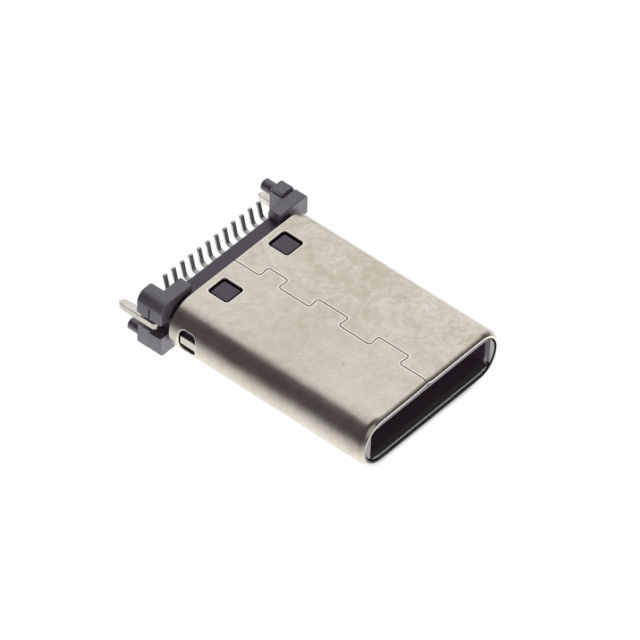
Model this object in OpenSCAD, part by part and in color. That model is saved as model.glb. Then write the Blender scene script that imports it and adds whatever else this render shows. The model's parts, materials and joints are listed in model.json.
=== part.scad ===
// Upright board plug with twenty-four contacts, lying on its broad side.
// X runs along the mouth, Y from the mouth to the board, Z up through the broad sides.
// Lengths along Y are taken from the rim of the mouth, heights from the middle of the plug.

/* [Shell] */
// Width over the rounded sides
shell_width = 8.25; // [8.1:0.05:8.8]
// Height over the broad sides
shell_height = 2.4; // [2.36:0.02:2.6]
// Length from the rim to the back edge
shell_length = 9.86; // [9.4:0.02:11]
// Thickness of the sheet
shell_wall = 0.28; // [0.22:0.01:0.3]
// How far the rim is drawn in on its outer side
lip_draw = 0.15; // [0.1:0.01:0.19]
// Length over which the rim is drawn in
lip_depth = 0.27; // [0.14:0.01:0.3]
// Width of the cut between the two edges of the sheet
seam_gap = 0.025; // [0.02:0.005:0.06]
// How far the tabs of the seam reach across the middle
seam_step = 0.56; // [0.4:0.02:0.8]
// Distance from the back edge to the first tab
seam_start = 1.25; // [1:0.05:1.4]
// Length of the short tab at the back
short_tab = 1.05; // [0.9:0.05:1.2]
// Length of the other tabs
long_tab = 1.58; // [1.4:0.02:1.7]
// Distance between two tabs
tab_spacing = 1.5; // [1.35:0.05:1.6]
// How much a tab widens on each side towards its head
tab_flare = 0.05; // [0:0.01:0.1]
// Radius of the corners along the seam
seam_round = 0.13; // [0.08:0.01:0.16]
// Size of the windows in the broad sides along X
broad_window_width = 1; // [0.6:0.05:1.1]
// Size of the windows in the broad sides along Y
broad_window_length = 1.02; // [0.7:0.01:1.1]
// Distance of these windows from the middle
broad_window_place = 1.77; // [1.5:0.01:2]
// Metal left between these windows and the back edge
broad_window_margin = 0.34; // [0.3:0.02:0.5]
// Corner radius of the windows
window_round = 0.14; // [0.08:0.01:0.2]
// Size of the windows in the rounded sides along Y
side_window_length = 0.84; // [0.6:0.02:0.9]
// Size of the windows in the rounded sides along Z
side_window_height = 1.04; // [0.7:0.02:1.1]
// Metal left between these windows and the back edge
side_window_margin = 0.48; // [0.45:0.01:0.7]

/* [Contacts] */
// Distance between neighbouring contacts
pitch = 0.5; // [0.46:0.01:0.52]
// Width of a contact
contact_width = 0.2; // [0.16:0.01:0.24]
// Thickness of the contact strip
contact_thickness = 0.12; // [0.1:0.01:0.14]
// Height of the strip in its carrier above the middle
contact_level = 0.5; // [0.46:0.01:0.52]
// Height of the spring beam above the middle
beam_level = 0.57; // [0.54:0.01:0.58]
// Height of the touching point above the middle
touch_level = 0.3; // [0.27:0.01:0.34]
// Height of the tip of the soldering tail above the middle
tail_reach = 1.24; // [1.1:0.02:1.4]
// Angle at which the tail leaves the board line
tail_angle = 75; // [60:1:80]
// Radius of the bend of the tail, on its centre line
tail_bend = 0.22; // [0.16:0.01:0.26]

/* [Housing] */
// Play between the mouldings and the shell
moulding_play = 0.03; // [0.02:0.005:0.05]
// Distance from the rim to the front of the housing
housing_front = 0.04; // [0.01:0.01:0.1]
// Distance from the rim to the seam between housing and carriers
housing_back = 5.8; // [5.5:0.05:6.1]
// Distance from the outside of a rounded side to the slot for the mating tongue
side_land = 0.725; // [0.68:0.005:0.82]
// Height of the slot for the mating tongue
slot_height = 0.95; // [0.84:0.01:1]
// Depth of the slot from the rim
slot_depth = 4.9; // [4.6:0.05:5.2]
// Thickness of the housing's front edge
front_edge = 0.15; // [0.12:0.01:0.2]
// Thickness of the housing around the front pocket
pocket_wall = 0.27; // [0.24:0.01:0.3]
// Depth of the front pocket from the rim
pocket_depth = 1.55; // [1.5:0.05:1.6]
// Play on each side of a contact in its groove
groove_play = 0.05; // [0.03:0.01:0.07]

/* [Carriers] */
// Space between the back edge of the shell and the ears
ear_gap = 0.2; // [0.1:0.01:0.3]
// Thickness of the ears and of the strip between them
ear_thickness = 0.6; // [0.5:0.02:0.8]
// How far the ears stand out past the rounded sides of the shell
ear_overhang = 0.2; // [0.16:0.01:0.3]
// How far the ears stand out past the broad sides of the shell
ear_rise = 0.14; // [0.08:0.01:0.2]
// Distance from the middle to the inner end of the long ear
long_ear_end = 2.52; // [2.3:0.02:2.8]
// Distance from the middle to the inner end of the short ear
short_ear_end = 2.64; // [2.5:0.02:2.95]
// Corner radius of the long ear
long_ear_round = 0.46; // [0.3:0.02:0.55]
// Corner radius of the rounded foot on its inner side
foot_round = 0.25; // [0.1:0.01:0.3]
// Corner radius of the short ear
short_ear_round = 0.22; // [0.14:0.01:0.3]
// Height of the feet behind the ears
foot_height = 0.68; // [0.55:0.01:0.8]
// Width of the rounded foot behind the long ear
round_foot_width = 0.93; // [0.85:0.01:1]
// Width of the groove between the long ear and its foot
foot_groove_width = 0.08; // [0.05:0.01:0.12]
// Depth of that groove in the outer side
foot_groove_depth = 0.08; // [0.05:0.01:0.12]
// Width of the foot that carries the peg
peg_foot_width = 0.78; // [0.74:0.01:0.82]
// How far the peg's foot stands up past its ear
peg_foot_rise = 0.08; // [0.04:0.01:0.14]
// Diameter of the locating peg
peg_diameter = 0.52; // [0.46:0.01:0.56]
// Length of the locating peg
peg_length = 0.67; // [0.5:0.01:0.9]
// Distance of the peg from the outer side of its ear
peg_inset = 0.43; // [0.4:0.01:0.46]
// Distance of the peg from the broad side of its ear
peg_drop = 0.36; // [0.34:0.01:0.42]
// Half of the open space between the two carriers at the ears
ear_split = 0.35; // [0.28:0.01:0.4]
// How far the pads in the windows stand up from the carriers
pad_rise = 0.24; // [0.1:0.01:0.28]
// Play around a pad in its window
pad_play = 0.07; // [0.04:0.01:0.1]

/* [Latch plate] */
// Thickness of the latch plate
plate_thickness = 0.3; // [0.24:0.01:0.34]
// Width of a latch arm
latch_width = 0.24; // [0.2:0.01:0.28]
// How far the hook of a latch arm reaches into the slot
latch_hook = 0.2; // [0.14:0.01:0.24]
// Distance from the rim to the tip of a latch arm
latch_tip = 1.3; // [1.25:0.05:1.5]
// Width of a board leg
leg_width = 0.36; // [0.3:0.01:0.4]
// Length of a board leg past the feet
leg_length = 1.07; // [0.8:0.01:1.6]
// Depth of the side tabs below the outside of the shell
tab_depth = 0.1; // [0.04:0.01:0.16]

/* [Ground springs] */
// Thickness of a ground spring
spring_thickness = 0.1; // [0.08:0.01:0.12]
// Width of a ground spring
spring_width = 5.4; // [5:0.05:5.5]
// Number of fingers on a ground spring
finger_count = 4; // [3:1:5]
// Width of a finger
finger_width = 0.5; // [0.4:0.05:0.6]
// Height of the touching point of a finger above the middle
finger_level = 0.5; // [0.46:0.01:0.54]

/* [Hidden] */
$fn = 64;
contact_count = 12;
bend_steps = 6;
ear_steps = 12;
far = 20;
over = 0.5;

plastic = [0.17, 0.16, 0.19];
nickel = [0.82, 0.79, 0.73];
steel = [0.86, 0.84, 0.81];
tin = [0.42, 0.42, 0.42];

// Shell
shell_radius = shell_height / 2;
core = shell_width / 2 - shell_radius;
inner_radius = shell_radius - shell_wall;
lip_flare = (shell_wall - lip_draw) / 3;
lip_flare_depth = 0.25;
broad_window_y = shell_length - broad_window_margin - broad_window_length / 2;
side_window_y = shell_length - side_window_margin - side_window_length / 2;

// Lines across the plug, from the mouth to the board
ear_front = shell_length + ear_gap;
ear_back = ear_front + ear_thickness;
seat = ear_back + foot_height;
leg_end = seat + leg_length;
peg_end = seat + peg_length;
tail_stand = 0.02;

// Mouldings
fit_radius = inner_radius - moulding_play;
plate_half = plate_thickness / 2;
ear_x = shell_width / 2 + ear_overhang;
ear_z = shell_radius + ear_rise;
peg_x = ear_x - peg_inset;
peg_z = ear_z - peg_drop;
foot_top = ear_z + peg_foot_rise;
peg_foot_x = ear_x - peg_foot_width;
round_foot_x = ear_x - round_foot_width;
ledge = 0.05;
notch = 0.08;
key_play = 0.05;
key_width = 0.4;
leg_play = 0.12;
peg_foot_floor = plate_half + leg_play;
peg_bevel = 0.08;

// Housing
slot_width = shell_width - 2 * side_land;
pocket_radius = fit_radius - pocket_wall;
pocket_half = core + pocket_radius;
pocket_round = 0.25;
mouth_radius = fit_radius - front_edge;
mouth_lead = 0.2;
groove_width = contact_width + 2 * groove_play;
groove_top = beam_level + contact_thickness / 2 + groove_play;
groove_floor = contact_level - contact_thickness / 2 - groove_play;
groove_lead = 0.1;
groove_front = pocket_depth + groove_lead;
latch_lead = 0.2;
latch_front = latch_tip - latch_lead;
latch_play = 0.05;
slot_round = 0.2;
spring_sink = 0.02;
recess_depth = spring_thickness + spring_sink;
recess_lead = 0.87;
recess_front = housing_front + recess_lead;
recess_length = 1.5;
recess_play = 0.03;
finger_play = 0.05;

// Latch plate
latch_clear = 0.02;
latch_inner = slot_width / 2 + latch_clear;
latch_outer = latch_inner + latch_width;
hook_ramp = 0.25;
hook_flat = 0.15;
hook_back = 0.35;
plate_setback = 0.1;
plate_front = housing_back + plate_setback;
rail_play = 0.1;
rail_x = core + sqrt(pow(fit_radius, 2) - pow(plate_half, 2)) - rail_play;
leg_inset = 0.05;
leg_outer = ear_x - leg_inset;
leg_inner = leg_outer - leg_width;
leg_tip_flat = 0.01;
leg_tip_round = leg_width / 2 - leg_tip_flat;
leg_neck = 0.2;
leg_back = ear_back - key_play;
leg_root = leg_back - leg_neck;
leg_shoulder = 0.12;
rail_width = 0.4;
tab_x = shell_width / 2 - tab_depth;
tab_play = 0.03;
tab_half = side_window_length / 2 - tab_play;
bridge_setback = 0.35;
plate_back = shell_length - bridge_setback;
arm_bevel = 0.1;

// Board leg, as corners [x, y, bend radius]
leg_path = [
    [leg_outer, leg_root + leg_shoulder, 0],
    [leg_outer, leg_end, leg_tip_round],
    [leg_inner, leg_end, leg_tip_round],
    [leg_inner, leg_back, 0]
];

// Outline of a latch arm and of the side of the plate, from the root of the arm to the board leg
arm_path = [
    [latch_inner - arm_bevel, plate_front],
    [latch_inner, plate_front - arm_bevel],
    [latch_inner, latch_tip + hook_ramp + hook_flat + hook_back],
    [latch_inner - latch_hook, latch_tip + hook_ramp + hook_flat],
    [latch_inner - latch_hook, latch_tip + hook_ramp],
    [latch_inner, latch_tip],
    [latch_outer - arm_bevel, latch_tip],
    [latch_outer, latch_tip + arm_bevel],
    [latch_outer, plate_front],
    [rail_x, plate_front + arm_bevel],
    [rail_x, side_window_y - tab_half],
    [tab_x, side_window_y - tab_half],
    [tab_x, side_window_y + tab_half],
    [rail_x, side_window_y + tab_half],
    [rail_x, leg_root],
    [leg_outer - leg_shoulder, leg_root]
];

// Right half of the plate's outline
plate_half_outline = concat(
    arm_path,
    rounded(leg_path, ear_steps),
    [[rail_x - rail_width, leg_back], [rail_x - rail_width, plate_back]]
);

// Forming of a contact
step_lead = 0.12;
step_length = 0.38;
step_bend = 0.2;
slope_length = 0.9;
slope_bend = 0.6;
touch_setback = 0.6;
touch_bend = 0.22;
tip_length = 0.4;
tip_lift = 0.2;

// Contact strip, as corners [y, z, bend radius] from the tail to the tip
tail_y = seat - contact_thickness / 2 / sin(tail_angle) + tail_stand;
tail_corner = tail_y - (tail_reach - contact_level) / tan(tail_angle);
step_back = housing_back - step_lead;
touch_y = pocket_depth + touch_setback;
contact_path = [
    [tail_y, tail_reach, 0],
    [tail_corner, contact_level, tail_bend],
    [step_back, contact_level, step_bend],
    [step_back - step_length, beam_level, step_bend],
    [touch_y + slope_length, beam_level, slope_bend],
    [touch_y, touch_level, touch_bend],
    [touch_y - tip_length, touch_level + tip_lift, 0]
];

// Forming of a ground spring
spring_edge = 0.1;
finger_length = 0.85;
finger_overlap = 0.2;
finger_bend = 0.12;
finger_tip = 0.02;
finger_tip_length = 0.2;
finger_lift = 0.12;

// Finger of a ground spring, from its root on the plate to its tip
spring_level = fit_radius - recess_depth + spring_thickness / 2;
finger_root = recess_front + finger_length;
finger_path = [
    [finger_root + finger_overlap, spring_level, 0],
    [finger_root - spring_edge, spring_level, finger_bend],
    [recess_front + finger_tip + finger_tip_length, finger_level, finger_bend],
    [recess_front + finger_tip, finger_level + finger_lift, 0]
];

// Seam, as corners [x, y, bend radius] from the back edge to the rim
tab_starts = [
    seam_start,
    seam_start + short_tab + tab_spacing,
    seam_start + short_tab + long_tab + 2 * tab_spacing
];
tab_lengths = [short_tab, long_tab, long_tab];
seam_side = seam_step / 2;
seam_path = concat(
    [[-seam_side, shell_length + over, 0]],
    [for (i = [0 : 2]) each tab_corners(shell_length - tab_starts[i], tab_lengths[i])],
    [[-seam_side, -over, 0]]
);

// The part stands on the lower peg foot, with the origin under the middle of its box
rest_height = foot_top;
middle = leg_end / 2;

contact_names = [for (row = ["a", "b"]) for (i = [1 : contact_count]) str("contact_", row, i)];

// Four corners of one seam tab, wider at its head than at its root
function tab_corners(back, length) = [
    [-seam_side, back - tab_flare, seam_round],
    [seam_side, back, seam_round],
    [seam_side, back - length, seam_round],
    [-seam_side, back - length + tab_flare, seam_round]
];

function unit(v) = v / norm(v);
function flat(p) = [p[0], p[1]];

// Points of the arc that rounds the corner p between a and b
function bend(a, p, b, steps) =
    let (along = unit(flat(p) - flat(a)))
    let (onward = unit(flat(b) - flat(p)))
    let (turn = acos(along * onward))
    let (side = sign(cross(along, onward)))
    let (start = flat(p) - along * p[2] * tan(turn / 2))
    let (centre = start + [-along[1], along[0]] * side * p[2])
    let (first = atan2(start[1] - centre[1], start[0] - centre[0]))
    [for (i = [0 : steps])
        let (angle = first + side * turn * i / steps)
        centre + p[2] * [cos(angle), sin(angle)]];

function before(path, i) = path[(i + len(path) - 1) % len(path)];
function after(path, i) = path[(i + 1) % len(path)];

// Line or outline with its corners rounded
function rounded(path, steps = bend_steps) = [
    for (i = [0 : len(path) - 1])
        each (path[i][2] == 0 ? [flat(path[i])] : bend(before(path, i), path[i], after(path, i), steps))
];

// Offset of point i of a centre line to one side
function beside(line, i, distance) =
    let (along = i == 0 ? unit(line[1] - line[0]) : unit(line[i] - line[i - 1]))
    let (onward = i == len(line) - 1 ? along : unit(line[i + 1] - line[i]))
    let (across = unit([-along[1] - onward[1], along[0] + onward[0]]))
    line[i] + across * distance / (across * [-along[1], along[0]]);

// Outline of a strip of even thickness along a centre line
function strip(path, thickness) =
    let (line = rounded(path))
    let (last = len(line) - 1)
    concat(
        [for (i = [0 : last]) beside(line, i, thickness / 2)],
        [for (i = [last : -1 : 0]) beside(line, i, -thickness / 2)]
    );

function contact_x(i) = (i - (contact_count - 1) / 2) * pitch;

// Moves a piece from the plug's own axis to where the part rests
module placed() {
    translate([0, -middle, rest_height])
        children();
}

// Turns a piece about the plug's axis to the other row
module other_row() {
    rotate([0, 180, 0])
        children();
}

// Extrudes an XZ outline between two places along Y
module along_y(from, to) {
    translate([0, to, 0])
        rotate([90, 0, 0])
            linear_extrude(to - from)
                children();
}

// Extrudes a YZ outline along X, evenly on both sides of a place
module along_x(place, width) {
    translate([place - width / 2, 0, 0])
        rotate([90, 0, 90])
            linear_extrude(width)
                children();
}

// Outline with two flat sides and round ends
module capsule(half, radius) {
    square([2 * half, 2 * radius], center = true);
    for (side = [-1, 1])
        translate([side * half, 0])
            circle(radius);
}

// Rectangle with four round corners
module rounded_rectangle(width, height, radius) {
    square([width - 2 * radius, height], center = true);
    square([width, height - 2 * radius], center = true);
    for (x = [-1, 1], y = [-1, 1])
        translate([x * (width / 2 - radius), y * (height / 2 - radius)])
            circle(radius);
}

// Rectangle between two corners, rounded at its outer top corner and, if wished, at the inner one
module eared(left, right, bottom, top, outer, inner = 0) {
    corners = [[left, bottom, 0], [right, bottom, 0], [right, top, outer], [left, top, inner]];
    polygon(rounded(corners, ear_steps));
}

// Section of the shell's wall, as points [y, distance from the core line]
function lip_arc(steps) = [
    for (i = [0 : steps])
        let (angle = 90 * i / steps)
        [lip_depth * (1 - sin(angle)), shell_radius - lip_draw * (1 - cos(angle))]
];
wall_section = concat(
    [[shell_length, shell_radius]],
    lip_arc(bend_steps),
    [
        [0, inner_radius + lip_flare],
        [lip_flare_depth, inner_radius],
        [shell_length, inner_radius]
    ]
);

module shell_tube() {
    for (side = [-1, 1])
        translate([side * core, 0, 0])
            rotate([-90, 0, 0])
                rotate([0, 0, side > 0 ? -90 : 90])
                    rotate_extrude(angle = 180)
                        polygon([for (p = wall_section) [p[1], p[0]]]);
    for (side = [0, 1])
        mirror([0, 0, side])
            along_x(0, 2 * core)
                polygon(wall_section);
}

module broad_windows() {
    for (x = [-1, 1])
        translate([x * broad_window_place, broad_window_y, -far / 2])
            linear_extrude(far)
                rounded_rectangle(broad_window_width, broad_window_length, window_round);
}

module side_windows() {
    along_x(0, far)
        translate([side_window_y, 0])
            rounded_rectangle(side_window_length, side_window_height, 2 * window_round);
}

module seam_cut() {
    linear_extrude(far)
        polygon(strip(seam_path, seam_gap));
}

// Sheet tube with a drawn rim, windows and a seam of interlocking tabs
module shell() {
    color(nickel)
        difference() {
            shell_tube();
            broad_windows();
            side_windows();
            seam_cut();
        }
}

// Room for the contacts of the upper row
module contact_grooves() {
    for (i = [0 : contact_count - 1])
        translate([contact_x(i) - groove_width / 2, groove_front, groove_floor])
            cube([groove_width, housing_back - groove_front + over, groove_top - groove_floor]);
}

// Room for the upper ground spring and its fingers
module spring_room() {
    translate([-spring_width / 2 - recess_play, recess_front - recess_play, fit_radius - recess_depth])
        cube([spring_width + 2 * recess_play, recess_length + 2 * recess_play, over]);
    for (i = [0 : finger_count - 1])
        translate([finger_x(i) - finger_width / 2 - finger_play, recess_front - recess_play, 0])
            cube([finger_width + 2 * finger_play, finger_length, fit_radius]);
}

function finger_x(i) = (i - (finger_count - 1) / 2) * spring_width / finger_count;

// Widening of the front pocket towards the rim
module mouth_room() {
    upper = [
        [housing_front - over, mouth_radius],
        [housing_front, mouth_radius],
        [housing_front + mouth_lead, pocket_radius]
    ];
    along_x(0, 2 * pocket_half)
        polygon(concat(upper, [for (i = [2 : -1 : 0]) [upper[i][0], -upper[i][1]]]));
}

// Moulding in the mouth, with the tongue slot, contact grooves and latch slots
module front_housing() {
    color(plastic)
        difference() {
            along_y(housing_front, housing_back)
                capsule(core, fit_radius);
            mouth_room();
            along_y(housing_front - over, pocket_depth)
                rounded_rectangle(2 * pocket_half, 2 * pocket_radius, pocket_round);
            along_y(housing_front - over, slot_depth)
                rounded_rectangle(slot_width, slot_height, slot_round);
            for (side = [0, 1])
                mirror([side, 0, 0])
                    translate([latch_inner - latch_hook - latch_play, latch_front, -plate_half - latch_play])
                        cube([far, housing_back - latch_front + over, plate_thickness + 2 * latch_play]);
            contact_grooves();
            other_row()
                contact_grooves();
            spring_room();
            other_row()
                spring_room();
        }
}

// Sheet spring in the roof of the housing, with fingers that reach into the pocket
module ground_spring() {
    color(steel) {
        difference() {
            translate([-spring_width / 2, recess_front, spring_level - spring_thickness / 2])
                cube([spring_width, recess_length, spring_thickness]);
            for (i = [0 : finger_count - 1])
                translate([finger_x(i) - finger_width / 2 - finger_play, recess_front + spring_edge, 0])
                    cube([finger_width + 2 * finger_play, finger_length - spring_edge, far]);
        }
        for (i = [0 : finger_count - 1])
            along_x(finger_x(i), finger_width)
                polygon(strip(finger_path, spring_thickness));
    }
}

// Stamped plate between the carriers, with latch arms, side tabs and board legs
module latch_plate() {
    last = len(plate_half_outline) - 1;
    color(steel)
        linear_extrude(plate_thickness, center = true)
            polygon(concat(
                plate_half_outline,
                [for (i = [last : -1 : 0]) [-plate_half_outline[i][0], plate_half_outline[i][1]]]
            ));
}

// Ear on the left, with its rounded foot and the key that crosses to the other carrier
module long_ear() {
    mirror([1, 0, 0]) {
        along_y(ear_front, ear_back)
            eared(long_ear_end, ear_x, plate_half, ear_z, long_ear_round);
        difference() {
            along_y(ear_back - over / 2, seat)
                eared(round_foot_x, ear_x, ear_split, ear_z, long_ear_round, foot_round);
            translate([ear_x - foot_groove_depth, ear_back, 0])
                cube([far, foot_groove_width, ear_z - long_ear_round]);
        }
        translate([round_foot_x, ear_back, key_play - peg_foot_floor])
            cube([key_width, foot_height, peg_foot_floor + ear_split]);
    }
}

// Ear on the right, with the foot that carries the locating peg
module short_ear() {
    along_y(ear_front, ear_back)
        eared(short_ear_end, ear_x, plate_half, ear_z, short_ear_round);
    along_y(ear_back, seat)
        eared(peg_foot_x - ledge, ear_x - ledge, peg_foot_floor, ear_z - notch, short_ear_round);
    along_y(ear_back + notch, seat)
        eared(peg_foot_x, ear_x - ledge, peg_foot_floor, foot_top, short_ear_round);
    translate([peg_x, seat - over / 2, peg_z])
        rotate([-90, 0, 0])
            cylinder(d = peg_diameter, h = peg_length + over / 2 - peg_bevel);
    translate([peg_x, peg_end - peg_bevel, peg_z])
        rotate([-90, 0, 0])
            cylinder(d1 = peg_diameter, d2 = peg_diameter - 2 * peg_bevel, h = peg_bevel);
}

// Pads that sit in the windows of the shell
module window_pads() {
    for (x = [-1, 1])
        translate([x * broad_window_place, broad_window_y, 0])
            linear_extrude(fit_radius + pad_rise)
                rounded_rectangle(
                    broad_window_width - 2 * pad_play,
                    broad_window_length - 2 * pad_play,
                    window_round - pad_play / 2
                );
}

// Moulding that holds the upper row of contacts
module carrier() {
    color(plastic)
        difference() {
            union() {
                along_y(housing_back, ear_back)
                    capsule(core, fit_radius);
                window_pads();
                long_ear();
                short_ear();
            }
            translate([-far / 2, 0, -far + plate_half])
                cube([far, ear_back, far]);
            for (side = [0, 1])
                mirror([side, 0, 0])
                    translate([rail_x, ear_front - over, -ear_split])
                        cube([far, far, 2 * ear_split]);
            for (i = [0 : contact_count - 1])
                translate([contact_x(i) - contact_width / 2, 0, contact_level - contact_thickness / 2])
                    cube([contact_width, far, contact_thickness]);
        }
}

module upper_carrier() {
    carrier();
}

module lower_carrier() {
    other_row()
        carrier();
}

module upper_spring() {
    ground_spring();
}

module lower_spring() {
    other_row()
        ground_spring();
}

// Formed strip from the soldering tail to the touching point
module contact(i) {
    color(tin)
        along_x(contact_x(i), contact_width)
            polygon(strip(contact_path, contact_thickness));
}

placed() shell();
placed() front_housing();
placed() upper_spring();
placed() lower_spring();
placed() latch_plate();
placed() upper_carrier();
placed() lower_carrier();
for (i = [0 : contact_count - 1]) {
    placed() contact(i);
    placed() other_row() contact(i);
}
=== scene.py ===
import json
import math

import bmesh
import bpy
import numpy as np
from mathutils import Matrix, Vector
from mathutils.geometry import delaunay_2d_cdt


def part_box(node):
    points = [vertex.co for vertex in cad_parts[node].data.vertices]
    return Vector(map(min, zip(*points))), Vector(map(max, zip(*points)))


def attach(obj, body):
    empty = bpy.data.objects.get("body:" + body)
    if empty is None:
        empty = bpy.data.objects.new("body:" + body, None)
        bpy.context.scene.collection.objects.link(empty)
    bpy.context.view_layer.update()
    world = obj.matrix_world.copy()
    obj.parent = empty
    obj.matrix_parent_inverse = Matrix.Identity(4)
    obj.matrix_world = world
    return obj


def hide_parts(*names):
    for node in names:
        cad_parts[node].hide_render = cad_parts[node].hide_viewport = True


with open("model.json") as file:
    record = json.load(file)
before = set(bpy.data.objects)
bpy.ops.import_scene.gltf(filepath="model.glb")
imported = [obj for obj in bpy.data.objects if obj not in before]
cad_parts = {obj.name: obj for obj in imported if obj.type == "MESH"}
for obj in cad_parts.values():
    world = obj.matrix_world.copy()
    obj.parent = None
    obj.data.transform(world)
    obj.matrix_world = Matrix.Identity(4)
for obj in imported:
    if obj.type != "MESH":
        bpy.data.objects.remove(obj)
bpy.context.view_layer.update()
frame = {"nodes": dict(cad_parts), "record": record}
mm = 0.001  # the frame is in metres, the sizes below are in millimetres
tiny = 1e-4  # less than any real distance on the part
print("frame loaded with", len(frame["nodes"]), "nodes")

# section of the shell: two flat sides joined by half rounds
shellLow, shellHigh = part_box("shell")  # in metres
rimY, backY = shellLow.y / mm, shellHigh.y / mm
plugZ = (shellLow.z + shellHigh.z) / 2 / mm  # height of the middle
shellRadius = (shellHigh.z - shellLow.z) / 2 / mm
shellCore = (shellHigh.x - shellLow.x) / 2 / mm - shellRadius  # half the width of the flat sides
shellLength = (shellHigh.y - shellLow.y) / mm
halfRound = math.pi * shellRadius
halfWay = 2 * shellCore + halfRound  # round from the middle of the upper side to that of the lower one


# node helpers: a socket takes either a value or another node's output
def addNode(tree, kind, sockets=None, props=None):
    made = tree.nodes.new(kind)
    for name, value in (props or {}).items():
        setattr(made, name, value)
    for name, value in (sockets or {}).items():
        if isinstance(value, bpy.types.NodeSocket):
            tree.links.new(value, made.inputs[name])
        else:
            made.inputs[name].default_value = value
    return made


def newGroup(name, inputs, outputs):
    tree = bpy.data.node_groups.new(name, "ShaderNodeTree")
    for label, value in inputs.items():
        socket = tree.interface.new_socket(name=label, in_out="INPUT", socket_type="NodeSocketFloat")
        socket.default_value = value
    for label in outputs:
        tree.interface.new_socket(name=label, in_out="OUTPUT", socket_type="NodeSocketFloat")
    entry = tree.nodes.new("NodeGroupInput")
    leave = tree.nodes.new("NodeGroupOutput")
    return tree, entry.outputs, leave.inputs


def fillGroup(tree, group, values):
    return addNode(tree, "ShaderNodeGroup", values, {"node_tree": group}).outputs


def inMillimetres(tree):
    place = addNode(tree, "ShaderNodeTexCoord").outputs["Object"]
    scaled = addNode(tree, "ShaderNodeVectorMath", {0: place, "Scale": 1 / mm}, {"operation": "SCALE"})
    return scaled.outputs["Vector"]


def splitPlace(tree):
    return addNode(tree, "ShaderNodeSeparateXYZ", {0: inMillimetres(tree)}).outputs


def stretched(tree, place, factors):
    made = addNode(tree, "ShaderNodeVectorMath", {0: place, 1: factors}, {"operation": "MULTIPLY"})
    return made.outputs["Vector"]


def spread(tree, value, low, high, toLow=0.0, toHigh=1.0):
    sockets = {"Value": value, "From Min": low, "From Max": high, "To Min": toLow, "To Max": toHigh}
    return addNode(tree, "ShaderNodeMapRange", sockets).outputs["Result"]


def math2(tree, operation, first, second=0.0):
    return addNode(tree, "ShaderNodeMath", {0: first, 1: second}, {"operation": operation}).outputs["Value"]


def mixColours(tree, factor, first, second):
    colourSockets = {0: factor, 6: first, 7: second}  # the node's other sockets are for values and vectors
    return addNode(tree, "ShaderNodeMix", colourSockets, {"data_type": "RGBA"}).outputs[2]


def noise(tree, place, scale, detail, roughness=0.5):
    sockets = {"Vector": place, "Scale": scale, "Detail": detail, "Roughness": roughness}
    return addNode(tree, "ShaderNodeTexNoise", sockets).outputs["Fac"]


# round spots on scattered points
def spots(tree, place, scale, size):
    cells = addNode(tree, "ShaderNodeTexVoronoi", {"Vector": place, "Scale": scale})
    return spread(tree, cells.outputs["Distance"], 0.0, size, 1.0, 0.0)


noiseRange = (0.3, 0.7)  # nearly all values of a noise texture lie in it


# shared effect: clouds, grain, rolling streaks and small pits of plated sheet
def makeMetalClouds():
    inputs = {"Cloud Scale": 0.5, "Grain Scale": 4.0, "Streak Scale": 7.0, "Pit Scale": 1.3, "Pit Size": 0.05}
    tree, entry, leave = newGroup("metalClouds", inputs, ["Clouds", "Grain", "Streaks", "Pits"])
    place = inMillimetres(tree)
    drawnOut = stretched(tree, place, (1.0, 0.05, 1.0))  # the sheet was rolled along Y
    clouds = noise(tree, place, entry["Cloud Scale"], 4.0, 0.6)
    grain = noise(tree, place, entry["Grain Scale"], 4.0, 0.75)
    streaks = noise(tree, drawnOut, entry["Streak Scale"], 2.0)
    for name, value in (("Clouds", clouds), ("Grain", grain), ("Streaks", streaks)):
        tree.links.new(spread(tree, value, *noiseRange), leave[name])
    tree.links.new(spots(tree, place, entry["Pit Scale"], entry["Pit Size"]), leave["Pits"])
    return tree


# shared effect: fine mould texture, slow changes of shade and flecks in plastic
def makeMouldGrain():
    inputs = {"Grain Scale": 22.0, "Shade Scale": 1.4, "Fleck Scale": 5.0, "Fleck Size": 0.08}
    tree, entry, leave = newGroup("mouldGrain", inputs, ["Grain", "Shade", "Flecks"])
    place = inMillimetres(tree)
    shade = noise(tree, place, entry["Shade Scale"], 3.0)
    tree.links.new(noise(tree, place, entry["Grain Scale"], 3.0, 0.7), leave["Grain"])
    tree.links.new(spread(tree, shade, *noiseRange), leave["Shade"])
    tree.links.new(spots(tree, place, entry["Fleck Scale"], entry["Fleck Size"]), leave["Flecks"])
    return tree


metalClouds = makeMetalClouds()
mouldGrain = makeMouldGrain()


def newMaterial(name):
    made = bpy.data.materials.new(name)
    made.use_nodes = True
    tree = made.node_tree
    return made, tree, tree.nodes["Principled BSDF"]


def paintMetal(tree, shader, colour, rough):
    tree.links.new(colour, shader.inputs["Base Color"])
    tree.links.new(rough, shader.inputs["Roughness"])
    shader.inputs["Metallic"].default_value = 1.0


def addBump(tree, shader, height, depth):
    bump = addNode(tree, "ShaderNodeBump", {"Height": height, "Distance": depth * mm, "Strength": 1.0})
    tree.links.new(bump.outputs["Normal"], shader.inputs["Normal"])


# a mask that the mesh carries on its points
def meshMask(tree, name):
    return addNode(tree, "ShaderNodeAttribute", None, {"attribute_name": name}).outputs["Fac"]


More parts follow.
